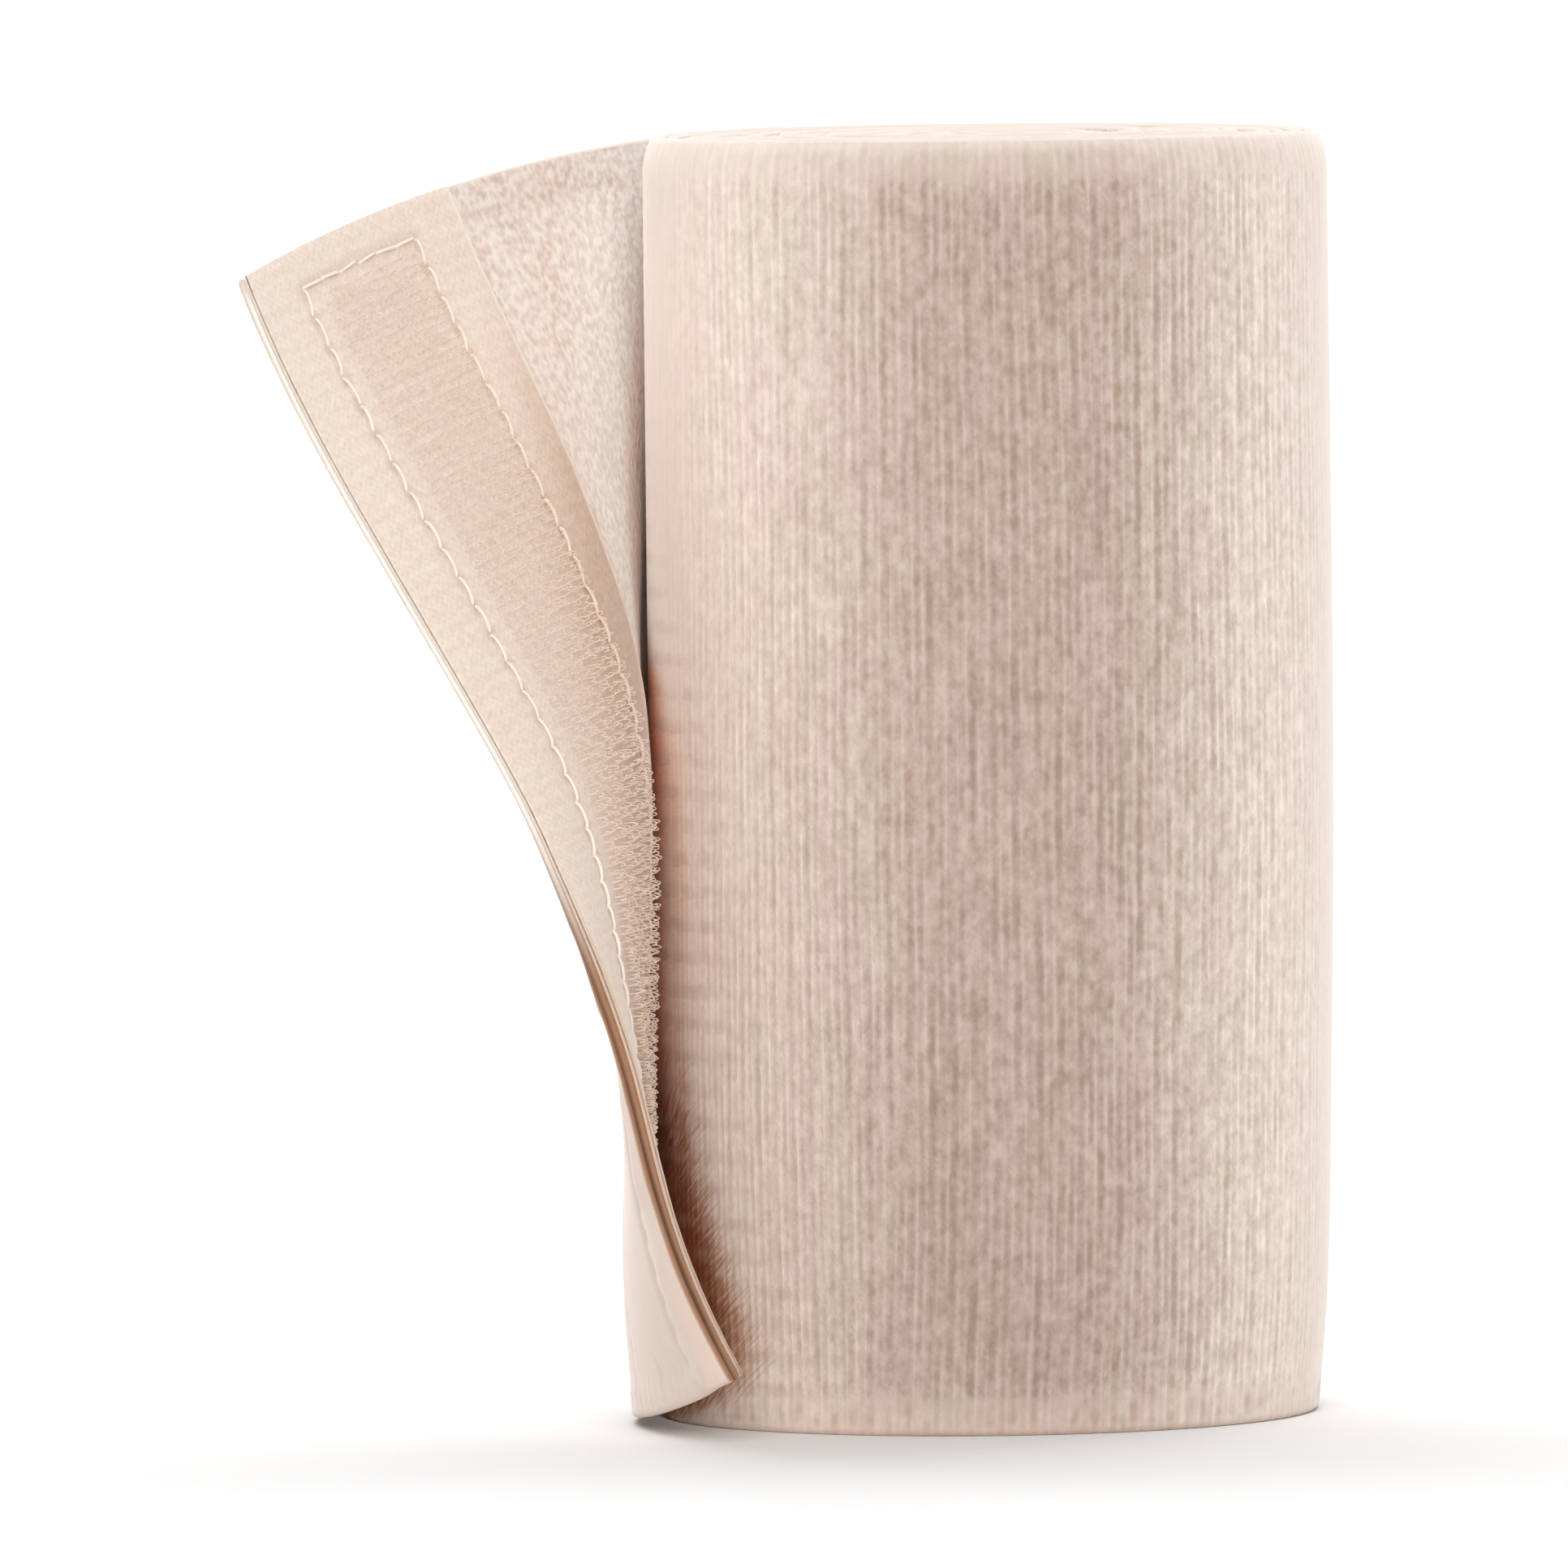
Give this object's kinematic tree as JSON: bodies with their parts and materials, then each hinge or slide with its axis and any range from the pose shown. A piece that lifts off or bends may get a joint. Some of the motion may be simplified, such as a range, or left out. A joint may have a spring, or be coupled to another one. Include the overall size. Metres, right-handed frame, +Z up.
{
  "type": "elastic bandage",
  "caption": "Rolled wide elastic bandage standing on one end, its free end peeled open to show a sewn hook tape.",
  "frame": {"origin": "on the roll's axis, at its lower end", "axes": "+Z up along the roll's axis, which is the width of the strip; the free end opens towards -X and -Y; +X to the right seen from the front, where the hook tape shows"},
  "size_m": [0.0862, 0.064, 0.1016],
  "materials": {
    "knitted_fabric": "beige ribbed elastic knit, matt",
    "hook_nylon": "tan woven nylon with fine hooks, soft sheen"
  },
  "bodies": {
    "root": {"wound_turns": "knitted_fabric", "loose_end": "knitted_fabric", "hook_tape": "hook_nylon"}
  },
  "joints": []
}
